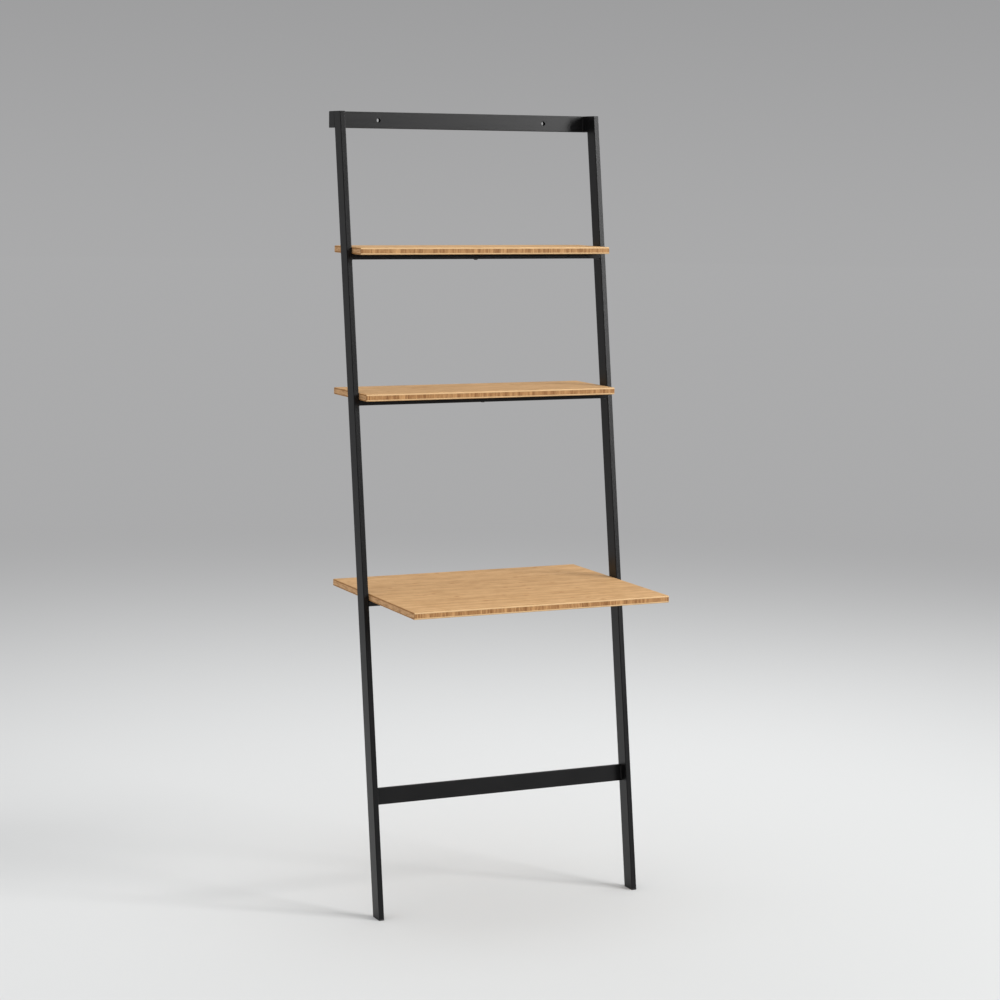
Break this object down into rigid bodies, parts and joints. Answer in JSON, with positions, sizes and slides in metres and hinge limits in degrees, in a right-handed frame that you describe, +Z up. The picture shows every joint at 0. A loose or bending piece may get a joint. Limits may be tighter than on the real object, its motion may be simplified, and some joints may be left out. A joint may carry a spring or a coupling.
{
  "type": "ladder desk",
  "caption": "Leaning ladder desk: a flat tube frame fixed to the wall at its head, with a deep bamboo desktop and shallower shelves above it.",
  "frame": {"origin": "on the floor, midway between the legs and midway between the wall and the front edge of the desktop", "axes": "+Z up, +Y towards the wall, +X to the right of someone who faces the desk"},
  "size_m": [0.6604, 0.494, 1.826],
  "materials": {
    "frame": "satin black powder coat on steel tube and plate",
    "board": "clear satin lacquer on three-ply bamboo",
    "plug": "moulded black",
    "screw": "black zinc on steel",
    "insert": "zinc-plated"
  },
  "bodies": {
    "root": {"left_leg": "frame", "right_leg": "frame", "left_leg_top_plate": "frame", "right_leg_top_plate": "frame", "left_head_arm": "frame", "right_head_arm": "frame", "wall_bar": "frame", "lower_crossbar": "frame", "desktop_rail": "frame", "middle_shelf_rail": "frame", "top_shelf_rail": "frame", "left_desktop_tab": "frame", "right_desktop_tab": "frame", "left_middle_shelf_tab": "frame", "right_middle_shelf_tab": "frame", "left_top_shelf_tab": "frame", "right_top_shelf_tab": "frame", "desktop": "board", "middle_shelf": "board", "top_shelf": "board", "left_foot_plug": "plug", "right_foot_plug": "plug", "left_arm_end_plug": "plug", "right_arm_end_plug": "plug", "rail_screws": "screw", "tab_screws": "screw", "threaded_inserts": "insert"}
  },
  "joints": []
}
